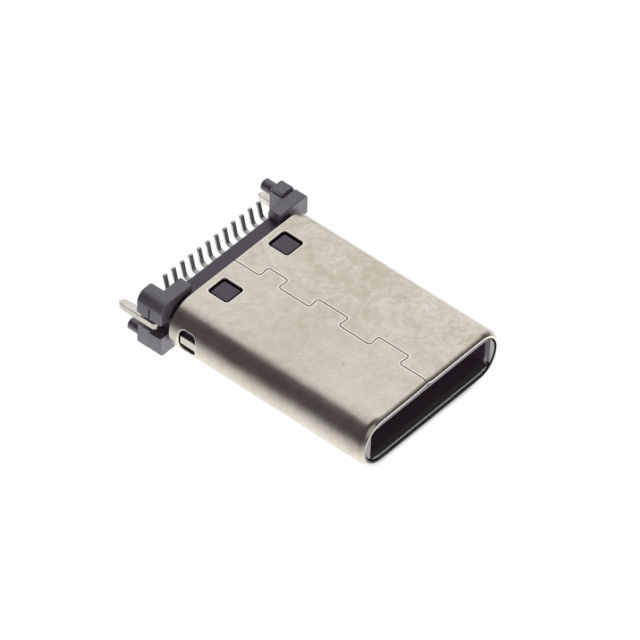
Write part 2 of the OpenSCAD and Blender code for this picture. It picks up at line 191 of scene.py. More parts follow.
nickelLook = {
    "pale": (0.74, 0.708, 0.634, 1),
    "warm": (0.572, 0.52, 0.428, 1),
    # pale rubbed metal, also used for the painted highlights along the edges, the seam and the rim
    "wornAndHighlight": (0.95, 0.91, 0.84, 1),
    "pit": (0.16, 0.13, 0.11, 1),
    "grime": (0.50, 0.42, 0.36, 1),  # darker, browner colour right along the seam
    "stain": (0.42, 0.34, 0.26, 1),
    "stainScale": 1.1,
    "stainFrom": (0.5, 0.68),  # noise values over which a stain starts
    "stainShare": 0.55,
    "lowStains": (1.3, 0.5),  # Z over which stains gather on the lower half of the rounded sides, mm
    "rimStains": (-5.1, -5.9),  # Y over which they gather at the rim, mm
    "rimStainShare": 0.6,
    "grain": 0.6,  # share of the fine grain in the mottling
    "rightMottle": 1.9,  # how much stronger the mottling gets to the right
    "rightFrom": (-1.0, 2.0),  # X over which it does, mm
    "brownBand": (-0.7, 2.4, 0.4),  # Y, width and edge of a darker, browner band across the part, mm
    "brownBandAmount": 0.22,
    "scuffs": {"turn": -0.735, "scale": 7.0, "stretch": 0.12, "from": (0.58, 0.76), "share": 0.22},
    "roughness": (0.28, 0.365),
    "roughFrom": (0.2, 0.8),  # mean of clouds and streaks over which it rises
    "rimFrom": (-5.75, -5.95),  # Y over which the smoother rim starts, mm
    "rimSmooth": 0.15,
    "clouds": {"Cloud Scale": 0.85, "Grain Scale": 3.6, "Streak Scale": 6.0, "Pit Scale": 1.1, "Pit Size": 0.06},
    "bump": 0.0016,
    "streakRise": 0.25,  # height of the streaks, in depths of a pit
}


def makeShellNickel():
    look = nickelLook
    material, tree, shader = newMaterial("shellNickel")
    clouds = fillGroup(tree, metalClouds, look["clouds"])
    place = inMillimetres(tree)
    split = splitPlace(tree)
    # mottling, stronger to the right and browner in a band across the part
    mottled = math2(tree, "ADD", math2(tree, "MULTIPLY", clouds["Clouds"], 1 - look["grain"]),
                    math2(tree, "MULTIPLY", clouds["Grain"], look["grain"]))
    strong = spread(tree, split["X"], *look["rightFrom"], 1.0, look["rightMottle"])
    mottled = math2(tree, "ADD", math2(tree, "MULTIPLY", math2(tree, "SUBTRACT", mottled, 0.5), strong), 0.5)
    middle, width, edge = look["brownBand"]
    away = math2(tree, "ABSOLUTE", math2(tree, "SUBTRACT", split["Y"], middle))
    brownBand = spread(tree, away, width, edge, 0.0, look["brownBandAmount"])
    colour = mixColours(tree, math2(tree, "SUBTRACT", mottled, brownBand), look["warm"], look["pale"])
    # faint scuffs run slantwise over the broad sides
    scuffs = look["scuffs"]
    turned = addNode(tree, "ShaderNodeVectorRotate", {"Vector": place, "Angle": scuffs["turn"]},
                     {"rotation_type": "Z_AXIS"}).outputs["Vector"]
    lines = noise(tree, stretched(tree, turned, (1.0, scuffs["stretch"], 1.0)), scuffs["scale"], 3.0)
    scuffed = spread(tree, lines, *scuffs["from"], 0.0, scuffs["share"])
    colour = mixColours(tree, scuffed, colour, look["wornAndHighlight"])
    # stains, pits, rubbed edges that also carry painted highlights, and a darker, browner colour right along the
    # seam
    blots = spread(tree, noise(tree, place, look["stainScale"], 5.0, 0.65), *look["stainFrom"])
    low = spread(tree, split["Z"], *look["lowStains"])
    atRim = spread(tree, split["Y"], *look["rimStains"], 0.0, look["rimStainShare"])
    stain = math2(tree, "MULTIPLY", blots, math2(tree, "MAXIMUM", low, atRim))
    colour = mixColours(tree, math2(tree, "MULTIPLY", stain, look["stainShare"]), colour, look["stain"])
    colour = mixColours(tree, clouds["Pits"], colour, look["pit"])
    colour = mixColours(tree, meshMask(tree, "edgeWearAndHighlight"), colour, look["wornAndHighlight"])
    colour = mixColours(tree, meshMask(tree, "seamGrime"), colour, look["grime"])
    even = math2(tree, "MULTIPLY", math2(tree, "ADD", clouds["Clouds"], clouds["Streaks"]), 0.5)
    rough = spread(tree, even, *look["roughFrom"], *look["roughness"])
    drawn = spread(tree, split["Y"], *look["rimFrom"], 1.0, 1 - look["rimSmooth"])
    paintMetal(tree, shader, colour, math2(tree, "MULTIPLY", rough, drawn))
    streaks = math2(tree, "MULTIPLY", clouds["Streaks"], look["streakRise"])
    addBump(tree, shader, math2(tree, "SUBTRACT", streaks, clouds["Pits"]), look["bump"])
    return material


# painted shade: the inner side of the shell's sheet and the cut faces of its windows, made a dark dull metal
insideShadeLook = {
    "pale": (0.16, 0.15, 0.14, 1),
    "dull": (0.10, 0.095, 0.09, 1),
    "roughness": (0.4, 0.55),
    "clouds": {"Cloud Scale": 1.2, "Streak Scale": 8.0, "Pit Scale": 1.5, "Pit Size": 0.05},
}
# latch plate and ground springs
steelLook = {
    "pale": (0.74, 0.72, 0.665, 1),
    "dull": (0.60, 0.575, 0.525, 1),
    "roughness": (0.28, 0.35),
    "clouds": {"Cloud Scale": 1.6, "Streak Scale": 9.0, "Pit Scale": 2.0, "Pit Size": 0.04},
    "bump": 0.002,
}


def makeSheetMetal(name, look):
    material, tree, shader = newMaterial(name)
    clouds = fillGroup(tree, metalClouds, look["clouds"])
    colour = mixColours(tree, clouds["Clouds"], look["dull"], look["pale"])
    paintMetal(tree, shader, colour, spread(tree, clouds["Streaks"], 0.0, 1.0, *look["roughness"]))
    if "bump" in look:
        addBump(tree, shader, clouds["Streaks"], look["bump"])
    return material


tinLook = {
    "tin": (0.74, 0.73, 0.71, 1),
    "dull": (0.62, 0.61, 0.60, 1),
    "gold": (0.78, 0.56, 0.24, 1),
    "goldFrom": (-0.6, -1.2),  # Y over which the gold flash starts, mm
    "cutEnd": (0.17, 0.16, 0.15, 1),
    "cutEndFrom": (5.07, 5.13),  # Y over which the sheared ends of the tails darken, mm
    "roughness": (0.42, 0.55),
    "clouds": {"Cloud Scale": 3.0, "Streak Scale": 14.0, "Pit Scale": 3.0, "Pit Size": 0.05},
    "bump": 0.0005,
}


def makeContactTin():
    look = tinLook
    material, tree, shader = newMaterial("contactTin")
    clouds = fillGroup(tree, metalClouds, look["clouds"])
    along = splitPlace(tree)["Y"]
    colour = mixColours(tree, clouds["Clouds"], look["dull"], look["tin"])
    colour = mixColours(tree, spread(tree, along, *look["goldFrom"]), colour, look["gold"])
    colour = mixColours(tree, spread(tree, along, *look["cutEndFrom"]), colour, look["cutEnd"])
    paintMetal(tree, shader, colour, spread(tree, clouds["Clouds"], 0.0, 1.0, *look["roughness"]))
    addBump(tree, shader, clouds["Streaks"], look["bump"])
    return material


mouldLook = {"Grain Scale": 9.0, "Shade Scale": 1.2, "Fleck Scale": 4.0, "Fleck Size": 0.09}
plasticLook = {
    "carrier": {
        "dark": (0.033, 0.026, 0.035, 1), "light": (0.086, 0.072, 0.092, 1), "fleck": (0.13, 0.125, 0.14, 1),
        "roughness": (0.33, 0.46), "bump": 0.008,
        "specular": 1.0, "ior": 1.62, "tint": (0.91, 0.89, 1.0, 1), "coat": 0.55,
    },
    # painted shade: a darker, duller copy of the carrier plastic for what lies in the shell
    "pad": {
        "dark": (0.030, 0.024, 0.038, 1), "light": (0.044, 0.036, 0.056, 1), "fleck": (0.08, 0.075, 0.09, 1),
        "roughness": (0.36, 0.5), "bump": 0.005,
        "specular": 0.85, "ior": 1.5, "tint": (0.96, 0.88, 1.0, 1), "coat": 0.2,
    },
    "housing": {
        "dark": (0.040, 0.027, 0.038, 1), "light": (0.056, 0.038, 0.053, 1), "fleck": (0.06, 0.05, 0.06, 1),
        "roughness": (0.45, 0.6), "bump": 0.003,
        "specular": 0.5, "ior": 1.5, "tint": (1, 1, 1, 1), "coat": 0.0,
        "entryShade": (0.011, 0.008, 0.010, 1),
        "entryShadeFrom": (-5.92, -5.98),  # Y over which the painted shade on the chamfered entry of the mouth fades out inwards, mm
        # painted highlight on the front rim of the housing
        "rim": (0.215, 0.208, 0.225, 1),
        "rimFrom": (-6.14, -6.155),  # Y over which the painted highlight on the rim starts, mm
        "rimEdge": (0.755, 0.785),  # distance from the core line over which it starts, mm
        # painted light on the end walls of the mouth
        "ends": (0.30, 0.288, 0.305, 1),
        "litEndsFrom": (3.4, 3.55),  # distance from the middle over which the painted light on the end walls starts, mm
        "litEndsAlong": (-5.88, -5.94),  # and Y over which they do
    },
}
coatRange = (0.35, 0.65)  # grain values over which the glossy skin of the plastic sets in


# painted shade on the chamfered entry of the housing's mouth, and painted light on its rim and end walls
def paintFrontShadeAndLight(tree, colour, look):
    split = splitPlace(tree)
    across = math2(tree, "ABSOLUTE", split["X"])
    pastCore = math2(tree, "MAXIMUM", math2(tree, "SUBTRACT", across, shellCore), 0.0)
    high = math2(tree, "SUBTRACT", split["Z"], plugZ)
    squares = math2(tree, "ADD", math2(tree, "MULTIPLY", pastCore, pastCore), math2(tree, "MULTIPLY", high, high))
    fromCore = math2(tree, "POWER", squares, 0.5)
    entryShade = spread(tree, split["Y"], *look["entryShadeFrom"])
    rim = math2(tree, "MULTIPLY", spread(tree, split["Y"], *look["rimFrom"]),
                spread(tree, fromCore, *look["rimEdge"]))
    ends = math2(tree, "MULTIPLY", spread(tree, across, *look["litEndsFrom"]),
                 spread(tree, split["Y"], *look["litEndsAlong"]))
    for mask, name in ((entryShade, "entryShade"), (rim, "rim"), (ends, "ends")):
        colour = mixColours(tree, mask, colour, look[name])
    return colour


def makePlastic(name, look):
    material, tree, shader = newMaterial(name)
    mould = fillGroup(tree, mouldGrain, mouldLook)
    grain = spread(tree, mould["Grain"], *noiseRange)
    mixed = math2(tree, "MULTIPLY", math2(tree, "ADD", mould["Shade"], grain), 0.5)
    colour = mixColours(tree, mixed, look["dark"], look["light"])
    colour = mixColours(tree, mould["Flecks"], colour, look["fleck"])
    if "rim" in look:
        colour = paintFrontShadeAndLight(tree, colour, look)
    tree.links.new(colour, shader.inputs["Base Color"])
    tree.links.new(spread(tree, mould["Grain"], *noiseRange, *look["roughness"]), shader.inputs["Roughness"])
    shader.inputs["Specular IOR Level"].default_value = look["specular"]
    shader.inputs["Specular Tint"].default_value = look["tint"]
    shader.inputs["IOR"].default_value = look["ior"]
    if look["coat"]:
        tree.links.new(spread(tree, mould["Grain"], *coatRange, 0.0, look["coat"]), shader.inputs["Coat Weight"])
        shader.inputs["Coat Roughness"].default_value = look["roughness"][0]
    addBump(tree, shader, mould["Grain"], look["bump"])
    return material


shellNickel = makeShellNickel()
shellInsideShade = makeSheetMetal("shellInsideShade", insideShadeLook)
plateSteel = makeSheetMetal("plateSteel", steelLook)
contactTin = makeContactTin()
carrierPlastic = makePlastic("carrierPlastic", plasticLook["carrier"])
padPlastic = makePlastic("padPlastic", plasticLook["pad"])
housingPlastic = makePlastic("housingPlastic", plasticLook["housing"])
print("materials made")


def addPiece(name, mesh, material, node):
    piece = bpy.data.objects.new(name, mesh)
    bpy.context.scene.collection.objects.link(piece)
    mesh.materials.clear()
    mesh.materials.append(material)
    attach(piece, "root")
    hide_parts(node)


# shell: the flat sheet is cut and meshed in (u, v), u round the plug from the middle of the upper side
# and v from the rim, and then rolled to its section
shellLook = {
    "wall": 0.28,
    "lipDraw": 0.15,  # how far the rim is drawn in
    "lipDepth": 0.27,  # and over what length
    "lipFlare": 0.043,  # how far the rim opens on its inner side
    "lipFlareDepth": 0.25,
    "rolls": (0.05, 0.028, 0.04),  # roll of the stamped edges at windows, seam and back
    "seamGap": 0.009,
    "seamStep": 0.56,  # how far the seam steps sideways at a tab
    "seamStart": 1.25,  # from the back edge to the first tab
    "tabs": (1.05, 1.58, 1.58),  # lengths of the tabs from the back edge on
    "tabSpacing": 1.5,
    "tabFlare": 0.05,
    "seamRound": 0.125,
    "topWindow": (1.0, 1.02, 0.14),  # width, length, corner radius
    "topWindowPlace": 1.77,
    "topWindowMargin": 0.34,
    "sideWindow": (1.076, 0.84, 0.28),  # width along the rounded side, length, corner radius
    "sideWindowMargin": 0.48,
    "rimStep": 0.05,  # how far the left edge of the seam stands back at the rim
    "rimStepReach": (1.6, 0.9),  # and how far that reaches along u and v
    # u, v, width and depth of shallow dents
    "dents": ((2.3, 6.9, 0.5, 0.006), (2.75, 4.6, 0.4, 0.005), (1.5, 2.2, 0.7, 0.005), (-2.2, 4.4, 0.8, 0.005)),
    "wearAndHighlight": 2.0,  # width of the rubbed edges and of the painted highlights along them, in rolls
    "meshStep": 0.14,
    "rowStretch": 1.6,  # rows of the mesh lie this much further apart
    "bendDensity": 1.3,  # and columns on the rounded sides this much closer
    "rollSteps": (0.0, 0.15, 0.45, 1.0, 2.0, 3.0),  # rings of the mesh along an edge, in rolls
    "lipRows": 10,
    "flareRows": (0.1, 0.4, 1.0),  # in depths of the flare
    "cornerSteps": 8,
    "cutSteps": (0.1, 0.12),  # distance of mesh points along windows and seam
}


def roundedLine(corners, steps):
    line = []
    for i, (x, y, r) in enumerate(corners):
        here = Vector((x, y))
        if r == 0:
            line.append(here)
            continue
        along = (here - Vector(corners[i - 1][:2])).normalized()
        onward = (Vector(corners[i + 1][:2]) - here).normalized()
        turn = along.angle_signed(onward)  # positive to the right
        start = here - along * r * math.tan(abs(turn) / 2)
        side = -1 if turn > 0 else 1
        centre = start + Vector((-along.y, along.x)) * side * r
        for k in range(steps + 1):
            angle = side * abs(turn) * k / steps
            arm = start - centre
            line.append(centre + Vector((arm.x * math.cos(angle) - arm.y * math.sin(angle),
                                         arm.x * math.sin(angle) + arm.y * math.cos(angle))))
    return line


def offsetLine(line, distance):
    moved = []
    for i, here in enumerate(line):
        before = (here - line[i - 1]).normalized() if i else (line[1] - here).normalized()
        after = (line[i + 1] - here).normalized() if i + 1 < len(line) else before
        across = Vector((-before.y - after.y, before.x + after.x)).normalized()
        moved.append(here + across * distance / (across.x * -before.y + across.y * before.x))
    return moved


def subdivided(line, step):
    made = [line[0]]
    for a, b in zip(line, line[1:]):
        count = max(1, math.ceil((b - a).length / step - 1e-6))
        made += [a + (b - a) * k / count for k in range(1, count + 1)]
    return made


def seamCorners():
    look = shellLook
    side = look["seamStep"] / 2
    corners = [(-side, shellLength, 0)]
    back = shellLength - look["seamStart"]
    for tab in look["tabs"]:
        corners += [(-side, back - look["tabFlare"], look["seamRound"]),
                    (side, back, look["seamRound"]),
                    (side, back - tab, look["seamRound"]),
                    (-side, back - tab + look["tabFlare"], look["seamRound"])]
        back -= tab + look["tabSpacing"]
    return corners + [(-side, 0, 0)]


def windowPlaces():
    look = shellLook
    width, length, corner = look["topWindow"]
    topV = shellLength - look["topWindowMargin"] - length / 2
    places = [(u, topV, width, length, corner)
              for x in (-look["topWindowPlace"], look["topWindowPlace"])
              for u in (x, math.copysign(halfWay - abs(x), x))]
    width, length, corner = look["sideWindow"]
    sideV = shellLength - look["sideWindowMargin"] - length / 2
    return places + [(side * halfWay / 2, sideV, width, length, corner) for side in (-1, 1)]


def windowLoop(place, grow, step):
    u, v, width, length, corner = place
    halfU, halfV = width / 2 - corner, length / 2 - corner
    steps = shellLook["cornerSteps"]
    loop = []
    for quarter, (signU, signV) in enumerate(((1, 1), (-1, 1), (-1, -1), (1, -1))):
        for k in range(steps + 1):
            angle = math.pi / 2 * (quarter + k / steps)
            loop.append(Vector((u + signU * halfU + (corner + grow) * math.cos(angle),
                                v + signV * halfV + (corner + grow) * math.sin(angle))))
    return subdivided(loop + loop[:1], step)[:-1]


# distance to the nearest window, negative inside one
def windowGap(u, v):
    best = np.full(u.shape, np.inf)
    for cu, cv, width, length, corner in windowPlaces():
        du = np.abs(u - cu) - width / 2 + corner
        dv = np.abs(v - cv) - length / 2 + corner
        gap = np.hypot(np.maximum(du, 0), np.maximum(dv, 0)) + np.minimum(np.maximum(du, dv), 0) - corner
        best = np.minimum(best, gap)
    return best


def lineGap(u, v, line):
    best = np.full(u.shape, np.inf)
    for a, b in zip(line, line[1:]):
        e = b - a
        t = np.clip(((u - a.x) * e.x + (v - a.y) * e.y) / e.length_squared, 0, 1)
        best = np.minimum(best, np.hypot(u - a.x - t * e.x, v - a.y - t * e.y))
    return best


def sectionAt(u):
    a = np.abs(u)
    side = np.where(u < 0, -1.0, 1.0)
    turn = np.clip((a - shellCore) / shellRadius, 0, math.pi)
    along = np.where(a <= shellCore, a, np.where(a < shellCore + halfRound, shellCore, halfWay - a))
    return side * along, side * np.sin(turn), np.cos(turn)  # x on the core line, then the normal's x and z


# radius along v, and how far the normal points outwards and along Y
def outerProfile(v):
    look = shellLook
    k = np.clip(1 - v / look["lipDepth"], 0, 1)
    slope = 2 * look["lipDraw"] / look["lipDepth"] * k
    size = np.hypot(1, slope)
    return shellRadius - look["lipDraw"] * k * k, 1 / size, -slope / size


def innerProfile(v):
    flare, depth = shellLook["lipFlare"], shellLook["lipFlareDepth"]
    k = np.clip(1 - v / depth, 0, 1)
    lean = np.where(v < depth, math.atan2(flare, depth), 0.0)
    return shellRadius - shellLook["wall"] + flare * k, -np.cos(lean), -np.sin(lean)


def sheetGrid():
    look = shellLook
    backRoll, reach = look["rolls"][2], max(look["rollSteps"])
    lipAngles = [math.radians(90 * k / look["lipRows"]) for k in range(look["lipRows"] + 1)]
    rows = [look["lipDepth"] * (1 - math.sin(a)) for a in lipAngles]
    rows += [look["lipFlareDepth"] * k for k in look["flareRows"]]
    rows += [shellLength - backRoll * k for k in look["rollSteps"]]
    count = round((shellLength - look["lipDepth"]) / look["meshStep"] / look["rowStretch"])
    rows += list(np.linspace(look["lipDepth"], shellLength - reach * backRoll, count)[1:])
    rows = sorted(set(round(r, 6) for r in rows))
    flat = round(shellCore / look["meshStep"])
    bend = round(halfRound / look["meshStep"] * look["bendDensity"])
    columns = [shellCore * k / flat for k in range(flat)]
    columns += [shellCore + halfRound * k / bend for k in range(bend)]
    columns += [shellCore + halfRound + shellCore * k / flat for k in range(flat + 1)]
    return rows, sorted(set([-c for c in columns] + columns))


# the flat sheet: grid points away from the cuts, and rings of points along them
def cutSheet(seam, half):
    look = shellLook
    windowRoll, seamRoll, _ = look["rolls"]
    windowStep, seamStep = look["cutSteps"]
    clear, reach = look["meshStep"] / 2, max(look["rollSteps"])
    rows, columns = sheetGrid()
    gridU, gridV = (a.ravel() for a in np.meshgrid(columns, rows))
    keep = windowGap(gridU, gridV) > clear + reach * windowRoll
    keep &= lineGap(gridU, gridV, seam) > clear + reach * seamRoll + half
    points = [Vector(p) for p in zip(gridU[keep], gridV[keep])]
    edges = []

    def addLine(line, closed):
        first = len(points)
        points.extend(line)
        edges.extend((first + k, first + k + 1) for k in range(len(line) - 1))
        if closed:
            edges.append((len(points) - 1, first))

    for k in look["rollSteps"]:
        for place in windowPlaces():
            addLine(windowLoop(place, k * windowRoll, windowStep), True)
        for side in (-1, 1):
            line = offsetLine(seam, side * (half + k * seamRoll))
            ends = [Vector((line[-1].x, r)) for r in reversed(rows) if r < line[-2].y]
            starts = [Vector((line[0].x, r)) for r in reversed(rows) if r > line[1].y]
            addLine(starts + subdivided(line[1:-1], seamStep) + ends, False)
    mergeDistance = 1e-5
    flatPoints, _, faces, _, _, _ = delaunay_2d_cdt(points, edges, [], 0, mergeDistance)
    u = np.array([p.x for p in flatPoints])
    v = np.array([p.y for p in flatPoints])
    faces = np.array(faces)
    midU, midV = u[faces].mean(1), v[faces].mean(1)
    return u, v, faces[(windowGap(midU, midV) > 0) & (lineGap(midU, midV, seam) > half)]


def makeShell():
    look = shellLook
    windowRoll, seamRoll, backRoll = look["rolls"]
    seam = roundedLine(seamCorners(), look["cornerSteps"])
    half = look["seamGap"] / 2
    u, v, faces = cutSheet(seam, half)

    # distances to the three kinds of edges, each in its own rolls
    def edgeGaps(u, v):
        return np.stack([windowGap(u, v) / windowRoll, (lineGap(u, v, seam) - half) / seamRoll,
                         (shellLength - v) / backRoll])

    def edgeGap(u, v):
        return edgeGaps(u, v).min(0)

    # frames on the sheet
    coreX, normX, normZ = sectionAt(u)
    r, out, ahead = outerProfile(v)
    normal = np.stack([normX * out, ahead, normZ * out], 1)
    tangentU = np.stack([normZ, 0 * u, -normX], 1)
    tangentV = np.stack([-normX * ahead, out, -normZ * ahead], 1)
    # roll of the edges, and shallow dents
    gap = np.maximum(edgeGap(u, v), 0)
    slopeU = (edgeGap(u + tiny, v) - edgeGap(u - tiny, v)) / (2 * tiny)
    slopeV = (edgeGap(u, v + tiny) - edgeGap(u, v - tiny)) / (2 * tiny)
    toEdge = -(tangentU * slopeU[:, None] + tangentV * slopeV[:, None])
    toEdge /= np.maximum(np.linalg.norm(toEdge, axis=1), 1e-6)[:, None]
    lean = np.clip(1 - gap, 0, 1)
    depth = np.array(look["rolls"])[edgeGaps(u, v).argmin(0)] * (1 - np.sqrt(1 - lean ** 2))
    tilt = np.zeros_like(normal)
    for du, dv, width, deep in look["dents"]:
        dent = deep * np.exp(-((u - du) ** 2 + (v - dv) ** 2) / width ** 2)
        depth += dent
        tilt += (tangentU * (u - du)[:, None] + tangentV * (v - dv)[:, None]) * (-2 * dent / width ** 2)[:, None]
    reachU, reachV = look["rimStepReach"]
    back = look["rimStep"] * (u < 0) * np.clip(1 - np.abs(u) / reachU, 0, 1) ** 2 * np.clip(1 - v / reachV, 0, 1)
    outerPlace = np.stack([coreX + normX * r, v, normZ * r], 1) - normal * depth[:, None]
    outerPlace[:, 1] += back
    outerNormal = (normal + tilt) * np.sqrt(1 - lean ** 2)[:, None] + toEdge * lean[:, None]
    outerNormal /= np.linalg.norm(outerNormal, axis=1)[:, None]
    r, out, ahead = innerProfile(v)
    innerPlace = np.stack([coreX + normX * r, v + back, normZ * r], 1)
    innerNormal = np.stack([normX * out, ahead, normZ * out], 1)

    # the two ends of the sheet meet under the plug
    same = {round(v[i], 4): i for i in np.flatnonzero(u < -halfWay + tiny)}
    index = np.arange(len(u))
    for i in np.flatnonzero(u > halfWay - tiny):
        index[i] = same[round(v[i], 4)]
    # outer and inner faces, and the cut faces between them
    count = len(u)
    polygons, normals, slots = [], [], []
    borders = {}
    for a, b, c in index[faces].tolist():
        polygons += [(a, b, c), (count + a, count + c, count + b)]
        slots += [0, 1]
        normals += [outerNormal[a], outerNormal[b], outerNormal[c], innerNormal[a], innerNormal[c], innerNormal[b]]
        for edge in ((a, b), (b, c), (c, a)):
            if edge[::-1] in borders:
                del borders[edge[::-1]]
            else:
                borders[edge] = True
    front = np.array((0.0, -1.0, 0.0))
    atWindow, atRim = windowGap(u, v) < tiny, v < tiny
    for a, b in borders:
        polygons.append((b, a, count + a, count + b))
        slots.append(int(atWindow[a] and atWindow[b]))  # cut faces of the windows get the dark inner metal as painted shade
        atA, atB = (front, front) if atRim[a] and atRim[b] else (toEdge[a], toEdge[b])
        normals += [atB, atA, atA, atB]
    places = np.concatenate([outerPlace, innerPlace]) + np.array((0, rimY, plugZ))
    mesh = bpy.data.meshes.new("shellSheet")
    mesh.from_pydata((places * mm).tolist(), [], polygons)
    mesh.polygons.foreach_set("use_smooth", [True] * len(polygons))
    mesh.normals_split_custom_set([tuple(n) for n in normals])
    print("shell meshed,", len(polygons), "faces")
    # masks for the nickel: rubbed edges with painted highlights, a painted highlight line beside the seam, the cut
    # face of the rim painted pale all over as a highlight, and a darker colour right along the seam
    seamDistance = edgeGaps(u, v)[1]
    # painted highlight mixed with wear: pale fading out from the window and back edges, and a pale line two rolls
    # beside the seam
    wearAndHighlight = np.where(gap < seamDistance - tiny, 1 - gap / look["wearAndHighlight"], 1 - np.abs(seamDistance - look["wearAndHighlight"]))
    rimWearAndHighlight = atRim.astype(float)
    for name, outer, inner in (("edgeWearAndHighlight", np.maximum(wearAndHighlight, rimWearAndHighlight), rimWearAndHighlight),
                               ("seamGrime", 1 - seamDistance, 0 * rimWearAndHighlight)):
        layer = mesh.attributes.new(name, "FLOAT", "POINT")
        layer.data.foreach_set("value", np.clip(np.concatenate([outer, inner]), 0, 1))
    addPiece("shellSheet", mesh, shellNickel, "shell")
    mesh.materials.append(shellInsideShade)
    mesh.polygons.foreach_set("material_index", slots)


makeShell()


# mouldings and stampings: the CAD form with its edges broken, width being that of the broken edge
softLook = {
    "upper_carrier": {"piece": "upperCarrier", "width": 0.05, "material": carrierPlastic, "slot": "black_plastic",
                      "inside": padPlastic},
    "lower_carrier": {"piece": "lowerCarrier", "width": 0.05, "material": carrierPlastic, "slot": "black_plastic",
                      "inside": padPlastic},
    "front_housing": {"piece": "frontHousing", "width": 0.02, "material": housingPlastic, "slot": "black_plastic"},
    "latch_plate": {"piece": "latchPlate", "width": 0.03, "material": plateSteel, "slot": "plate_steel",
                    "tip": {"length": 0.42, "rings": 5, "crowding": 1.5, "bluntness": 0.86},
                    "tab": {"root": 3.71, "grow": 0.1}},
    "upper_spring": {"piece": "upperSpring", "width": 0.012, "material": plateSteel, "slot": "plate_steel"},
    "lower_spring": {"piece": "lowerSpring", "width": 0.012, "material": plateSteel, "slot": "plate_steel"},
}
for row in "ab":
    for number in range(1, 13):
        softLook[f"contact_{row}{number}"] = {"piece": f"contact{row.upper()}{number}", "width": 0.04,
                                              "material": contactTin, "slot": "contact_tin"}
edgeLook = {
    "sharpFrom": math.radians(28),
    "segments": 2,
    "room": 2.2,  # how long the edges that meet a broken one have to be, in widths
    "inLine": 0.8,  # cosine up to which an edge runs on in the same line
    "flat": math.radians(0.5),  # faces that turn less than this are joined
}
pegLook = {
    "mounts": {"upper_carrier": "upper_peg", "lower_carrier": "lower_peg"},
    "sides": 48,
    "fillet": 0.03,
    "filletAngles": (0.4, 0.8, 1.2, 1.57),
    "sink": 0.03,  # how far the foot reaches into the carrier
    "bevel": 0.08,  # length of the bevelled end, which the mount leaves out
    "nose": ((0.10, 0.0), (0.07, 0.005), (0.02, 0.07), (0.0, 0.11)),  # its rings, from the end and from the side
    "slack": 0.01,  # how far round the solid's peg its points are looked for
}


def pegSize(mount):
    x, y, z = (p / mm for p in mount["pos_m"])
    r, length = mount["dims"]["r_mm"], mount["dims"]["length_mm"]
    return x, z, r, y - length / 2, y + length / 2 + pegLook["bevel"]


def cutPeg(bm, mount):
    x, z, r, seat, _ = pegSize(mount)
    slack = pegLook["slack"]
    old = [p for p in bm.verts if math.hypot(p.co.x - x, p.co.z - z) < r + slack and p.co.y > seat - slack]
    bmesh.ops.delete(bm, geom=old, context="VERTS")
    bmesh.ops.holes_fill(bm, edges=[e for e in bm.edges if e.is_boundary], sides=0)


def addPeg(bm, mount):
    x, z, r, seat, end = pegSize(mount)
    f, sides = pegLook["fillet"], pegLook["sides"]
    profile = [(seat - pegLook["sink"], r + f), (seat, r + f)]
    profile += [(seat + f * (1 - math.cos(a)), r + f * (1 - math.sin(a))) for a in pegLook["filletAngles"]]
    profile += [(end - backBy, r - inBy) for backBy, inBy in pegLook["nose"]]
    turns = [2 * math.pi * k / sides for k in range(sides)]
    rings = [[bm.verts.new((x + ringR * math.cos(t), ringY, z + ringR * math.sin(t))) for t in turns]
             for ringY, ringR in profile]
    for lower, upper in zip(rings, rings[1:]):
        for k in range(sides):
            n = (k + 1) % sides
            bm.faces.new((lower[k], upper[k], upper[n], lower[n]))
    bm.faces.new(rings[0])
    bm.faces.new(rings[-1][::-1])


# an edge is broken only where the edges that meet it are long enough
def hasRoom(edge, sharp, width):
    for end in edge.verts:
        along = (end.co - edge.other_vert(end).co).normalized()
        for other in end.link_edges:
            if other is edge:
                continue
            onward = (other.other_vert(end).co - end.co).normalized()
            if other in sharp and along.dot(onward) > edgeLook["inLine"]:
                continue
            if other.calc_length() < edgeLook["room"] * width:
                return False
    return True


# flats keep their own normal, facets of one curve share theirs, and a broken edge takes that of the flat beside it
def cornerNormal(face, corner, broken):
    if face in broken:
        flats = [f for f in corner.link_faces if f not in broken]
        if not flats:
            return sum((f.normal for f in corner.link_faces), Vector()).normalized()
        beside = [f for f in flats if any(corner in e.verts and f in e.link_faces for e in face.edges)]
        face = max(beside or flats, key=lambda f: f.normal.dot(face.normal))
    alike = math.cos(edgeLook["sharpFrom"])
    group, ahead = {face}, [face]
    while ahead:
        here = ahead.pop()
        for edge in here.edges:
            if corner not in edge.verts:
                continue
            for other in edge.link_faces:
                if other not in group and other not in broken and other.normal.dot(here.normal) > alike:
                    group.add(other)
                    ahead.append(other)
    return sum((f.normal * f.calc_area() for f in group), Vector()).normalized()


def cutAcross(bm, point, direction):
    everything = bm.verts[:] + bm.edges[:] + bm.faces[:]
    bmesh.ops.bisect_plane(bm, geom=everything, plane_co=point, plane_no=direction)


# the legs narrow to a blunt point that finds its slot in the board
def taperLegs(bm, tip):
    end = max(p.co.y for p in bm.verts)
    length = tip["length"]
    for k in range(tip["rings"]):
        cutAcross(bm, (0, end - length * (1 - k / tip["rings"]) ** tip["crowding"], 0), (0, 1, 0))
    for side in (-1, 1):
        points = [p for p in bm.verts if p.co.y > end - length - tiny and p.co.x * side > 0]
        inner, outer = min(abs(p.co.x) for p in points), max(abs(p.co.x) for p in points)
        low, high = min(p.co.z for p in points), max(p.co.z for p in points)
        middleX, middleZ = side * (inner + outer) / 2, (low + high) / 2
        for p in points:
            t = max(0.0, 1 - (end - p.co.y) / length)
            scale = math.sqrt(1 - (tip["bluntness"] * t) ** 2)
            p.co.x = middleX + (p.co.x - middleX) * scale
            p.co.z = middleZ + (p.co.z - middleZ) * scale


# the side tabs are bent a little deeper at their outer edge
def growTabs(bm, tab):
    for side in (-1, 1):
        cutAcross(bm, (side * tab["root"], 0, 0), (side, 0, 0))
    for p in bm.verts:
        if abs(p.co.x) > tab["root"] + tab["grow"] and p.co.y < backY and p.co.z < plugZ:
            p.co.z -= tab["grow"]


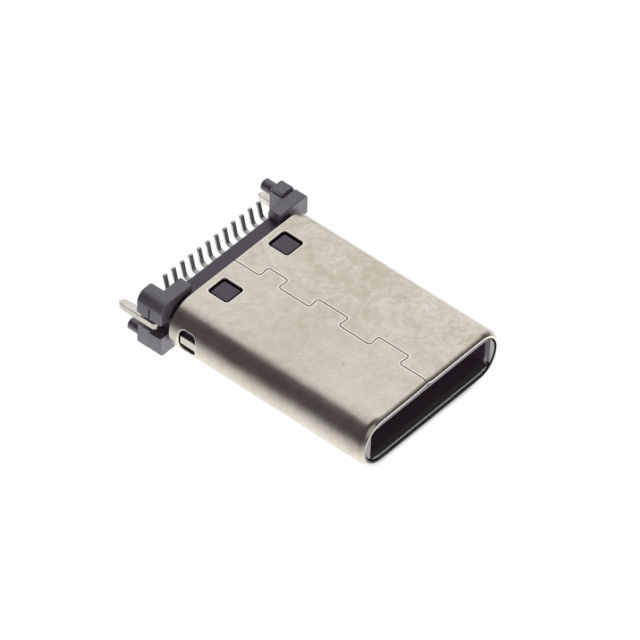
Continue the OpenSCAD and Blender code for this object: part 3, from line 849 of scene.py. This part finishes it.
def softCopy(node, look):
    bm = bmesh.new()
    bm.from_mesh(frame["nodes"][node].data)
    bmesh.ops.scale(bm, vec=(1 / mm,) * 3, verts=bm.verts)
    bmesh.ops.remove_doubles(bm, verts=bm.verts, dist=tiny)
    mounts = [m for m in frame["record"]["mounts"] if m["name"] == pegLook["mounts"].get(node)]
    for mount in mounts:
        cutPeg(bm, mount)
    bmesh.ops.dissolve_limit(bm, angle_limit=edgeLook["flat"], verts=bm.verts, edges=bm.edges)
    if "tip" in look:
        taperLegs(bm, look["tip"])
    if "tab" in look:
        growTabs(bm, look["tab"])
    sharp = {e for e in bm.edges
             if len(e.link_faces) == 2 and e.is_convex and e.calc_face_angle() > edgeLook["sharpFrom"]}
    roomy = [e for e in sharp if hasRoom(e, sharp, look["width"])]
    rolled = bmesh.ops.bevel(bm, geom=roomy, offset=look["width"], offset_type="OFFSET",
                             segments=edgeLook["segments"], profile=0.5, affect="EDGES", clamp_overlap=False)
    broken = set(rolled["faces"])
    for mount in mounts:
        addPeg(bm, mount)
    bm.normal_update()
    normals = [cornerNormal(face, loop.vert, broken) for face in bm.faces for loop in face.loops]
    bmesh.ops.scale(bm, vec=(mm,) * 3, verts=bm.verts)
    mesh = bpy.data.meshes.new(look["piece"])
    bm.to_mesh(mesh)
    bm.free()
    mesh.polygons.foreach_set("use_smooth", [True] * len(mesh.polygons))
    mesh.normals_split_custom_set(normals)
    addPiece(look["piece"], mesh, look["material"], node)
    if "inside" in look:  # what lies in the shell gets a darker, duller copy of the plastic: painted shade
        mesh.materials.append(look["inside"])
        mesh.polygons.foreach_set("material_index", [int(p.center.y < shellHigh.y) for p in mesh.polygons])


for node, look in softLook.items():
    softCopy(node, look)
print("mouldings, plate and contacts made")

# floor: plain white to the eye, with a shade under the part, and in reflections it glows round the part,
# less with distance from its sides and less close in front of its mouth
floorLook = {
    "radius": 0.5,  # metres
    "drop": 0.02,  # below the part, so that their faces don't meet
    "sides": 96,
    "paper": (0.996, 1.0),
    "fibreScale": 0.8,
    "underShade": 0.8,
    "underStart": (0.08, 0.30),  # distance behind the rim over which the shade starts
    "underEnd": (8.5, 6.0),  # and over which it ends
    "underAcross": (3.3, 2.6),  # distance from the middle over which it ends at the sides
    "footprint": (4.1, 6.2),  # half width and half length of what the glow lies round
    "glow": 1.12,
    "farGlow": 0.09,
    "glowReach": 3.2,
    "glowFall": 1.5,  # how steeply the glow falls off past its reach
    "lengthwise": 0.6,  # how much distance along Y counts for the glow
    "rightwise": 0.05,  # and distance to the right
    "rightFrom": (-1.0, 1.0),  # X over which that sets in
    "frontShade": (0.35, 1.7),  # distance in front of the mouth over which the glow comes back
    "leftCorner": (-3.0, -3.8),  # X over which the shade in front ends at the left
    "rightCorner": (3.9, 4.9),  # and at the right
}


def paperStrength(tree, split):
    look = floorLook
    fibre = noise(tree, inMillimetres(tree), look["fibreScale"], 4.0)
    under = math2(tree, "SUBTRACT", split["Y"], rimY)
    along = math2(tree, "MULTIPLY", spread(tree, under, *look["underStart"]), spread(tree, under, *look["underEnd"]))
    fromMiddle = math2(tree, "ABSOLUTE", split["X"])
    across = spread(tree, fromMiddle, *look["underAcross"], 0.0, look["underShade"])
    return math2(tree, "SUBTRACT", spread(tree, fibre, 0.0, 1.0, *look["paper"]),
                 math2(tree, "MULTIPLY", along, across))


def glowStrength(tree, split):
    look = floorLook
    halfWidth, halfLength = look["footprint"]
    outX = math2(tree, "MAXIMUM", math2(tree, "SUBTRACT", math2(tree, "ABSOLUTE", split["X"]), halfWidth), 0.0)
    outX = math2(tree, "MULTIPLY", outX, spread(tree, split["X"], *look["rightFrom"], 1.0, look["rightwise"]))
    outY = math2(tree, "MAXIMUM", math2(tree, "SUBTRACT", math2(tree, "ABSOLUTE", split["Y"]), halfLength), 0.0)
    away = math2(tree, "ADD", outX, math2(tree, "MULTIPLY", outY, look["lengthwise"]))
    far = math2(tree, "POWER", math2(tree, "DIVIDE", away, look["glowReach"]), look["glowFall"])
    glow = math2(tree, "DIVIDE", look["glow"], math2(tree, "ADD", far, 1.0))
    glow = math2(tree, "ADD", glow, look["farGlow"])
    ahead = math2(tree, "SUBTRACT", -halfLength, split["Y"])
    lit = math2(tree, "MAXIMUM", spread(tree, ahead, *look["frontShade"]), math2(tree, "LESS_THAN", ahead, 0.0))
    for corner in ("leftCorner", "rightCorner"):
        lit = math2(tree, "MAXIMUM", lit, spread(tree, split["X"], *look[corner]))
    return math2(tree, "MULTIPLY", glow, lit)


def isSeen(tree):
    return addNode(tree, "ShaderNodeLightPath").outputs["Is Camera Ray"]


def mixShaders(tree, factor, first, second):
    sockets = {0: factor, 1: first.outputs[0], 2: second.outputs[0]}
    return addNode(tree, "ShaderNodeMixShader", sockets)


def makeFloor():
    bm = bmesh.new()
    bmesh.ops.create_circle(bm, cap_ends=True, segments=floorLook["sides"], radius=floorLook["radius"])
    mesh = bpy.data.meshes.new("floorPaper")
    bm.to_mesh(mesh)
    bm.free()
    floor = bpy.data.objects.new("floorPaper", mesh)
    floor.location.z = -floorLook["drop"] * mm
    bpy.context.scene.collection.objects.link(floor)
    material, tree, _ = newMaterial("floorPaper")
    tree.nodes.clear()
    split = splitPlace(tree)
    paper = addNode(tree, "ShaderNodeEmission", {"Strength": paperStrength(tree, split)})
    mirrored = addNode(tree, "ShaderNodeEmission", {"Strength": glowStrength(tree, split)})
    # from below, the eye looks through the floor
    fromBelow = math2(tree, "MULTIPLY", addNode(tree, "ShaderNodeNewGeometry").outputs["Backfacing"], isSeen(tree))
    clear = addNode(tree, "ShaderNodeBsdfTransparent")
    surface = mixShaders(tree, fromBelow, mixShaders(tree, isSeen(tree), mirrored, paper), clear)
    addNode(tree, "ShaderNodeOutputMaterial", {"Surface": surface.outputs[0]})
    mesh.materials.append(material)


worldLook = {"strength": 0.09, "tint": (1.0, 0.82, 0.91, 1)}


# white to the eye, and dim in reflections
def makeWorld():
    world = bpy.data.worlds.new("studio")
    bpy.context.scene.world = world
    world.use_nodes = True
    tree = world.node_tree
    tree.nodes.clear()
    dim = addNode(tree, "ShaderNodeBackground", {"Color": worldLook["tint"], "Strength": worldLook["strength"]})
    pale = addNode(tree, "ShaderNodeBackground", {"Color": (1, 1, 1, 1), "Strength": 1.0})
    surface = mixShaders(tree, isSeen(tree), dim, pale)
    addNode(tree, "ShaderNodeOutputWorld", {"Surface": surface.outputs[0]})


# square and oblong lamps that face the part, sizes in metres; mirrored says whether reflections show one
lightLook = {
    "softbox": {"towards": (0.5, 0.5, 0.7), "size": (0.5, 0.5), "power": 0.70, "mirrored": True},
    "backPanel": {"towards": (0.87, 0.48, 0.03), "size": (0.4, 0.06), "power": 0.06, "mirrored": True},
    "frontCard": {"towards": (-0.3, -0.8, 0.5), "size": (0.2, 0.2), "power": 0.06, "mirrored": True},
    "rightCard": {"towards": (0.551, -0.40, 0.735), "size": (0.13, 0.13), "power": 0.036, "mirrored": True},
    "sideCard": {"towards": (0.93, -0.11, 0.35), "size": (0.13, 0.13), "power": 0.03, "mirrored": True},
    "frontFill": {"towards": (-0.35, -0.93, 0.12), "size": (0.2, 0.2), "power": 1.15, "mirrored": False},
    "leftFill": {"towards": (-0.97, 0.2, 0.12), "size": (0.2, 0.2), "power": 0.35, "mirrored": False},
}
lightDistance = 0.3  # metres


def makeLight(name, look):
    data = bpy.data.lights.new(name, "AREA")
    data.shape = "RECTANGLE"
    data.size, data.size_y = look["size"]
    data.energy = look["power"]
    lamp = bpy.data.objects.new(name, data)
    towards = Vector(look["towards"]).normalized()
    lamp.location = towards * lightDistance
    lamp.rotation_mode = "QUATERNION"
    lamp.rotation_quaternion = towards.to_track_quat("Z", "Y")
    lamp.visible_camera = False
    lamp.visible_glossy = look["mirrored"]
    bpy.context.scene.collection.objects.link(lamp)


makeFloor()
makeWorld()
for name, look in lightLook.items():
    makeLight(name, look)
bpy.context.scene.view_settings.view_transform = "Standard"
print("floor, world and lights made")

cameraLook = {
    "lens": 500,
    "sensor": 36,
    "azimuth": -50.710,
    "elevation": 44.630,
    "roll": 2.256,
    "distance": 344.463,
    "target": (0.3912, -0.1962, 1.42),
    "clip": (0.01, 10),  # metres
}


def makeCamera():
    look = cameraLook
    a, e, r = (math.radians(look[key]) for key in ("azimuth", "elevation", "roll"))
    back = Vector((math.sin(a) * math.cos(e), -math.cos(a) * math.cos(e), math.sin(e)))
    right = Vector((math.cos(a), math.sin(a), 0))
    up = back.cross(right)
    leanRight = right * math.cos(r) + up * math.sin(r)
    leanUp = up * math.cos(r) - right * math.sin(r)
    data = bpy.data.cameras.new("photoView")
    data.lens = look["lens"]
    data.sensor_width = look["sensor"]
    data.clip_start, data.clip_end = look["clip"]
    camera = bpy.data.objects.new("photoView", data)
    turn = Matrix((leanRight, leanUp, back)).transposed().to_4x4()
    camera.matrix_world = Matrix.Translation((Vector(look["target"]) + back * look["distance"]) * mm) @ turn
    bpy.context.scene.collection.objects.link(camera)
    bpy.context.scene.camera = camera


makeCamera()
print("camera set")
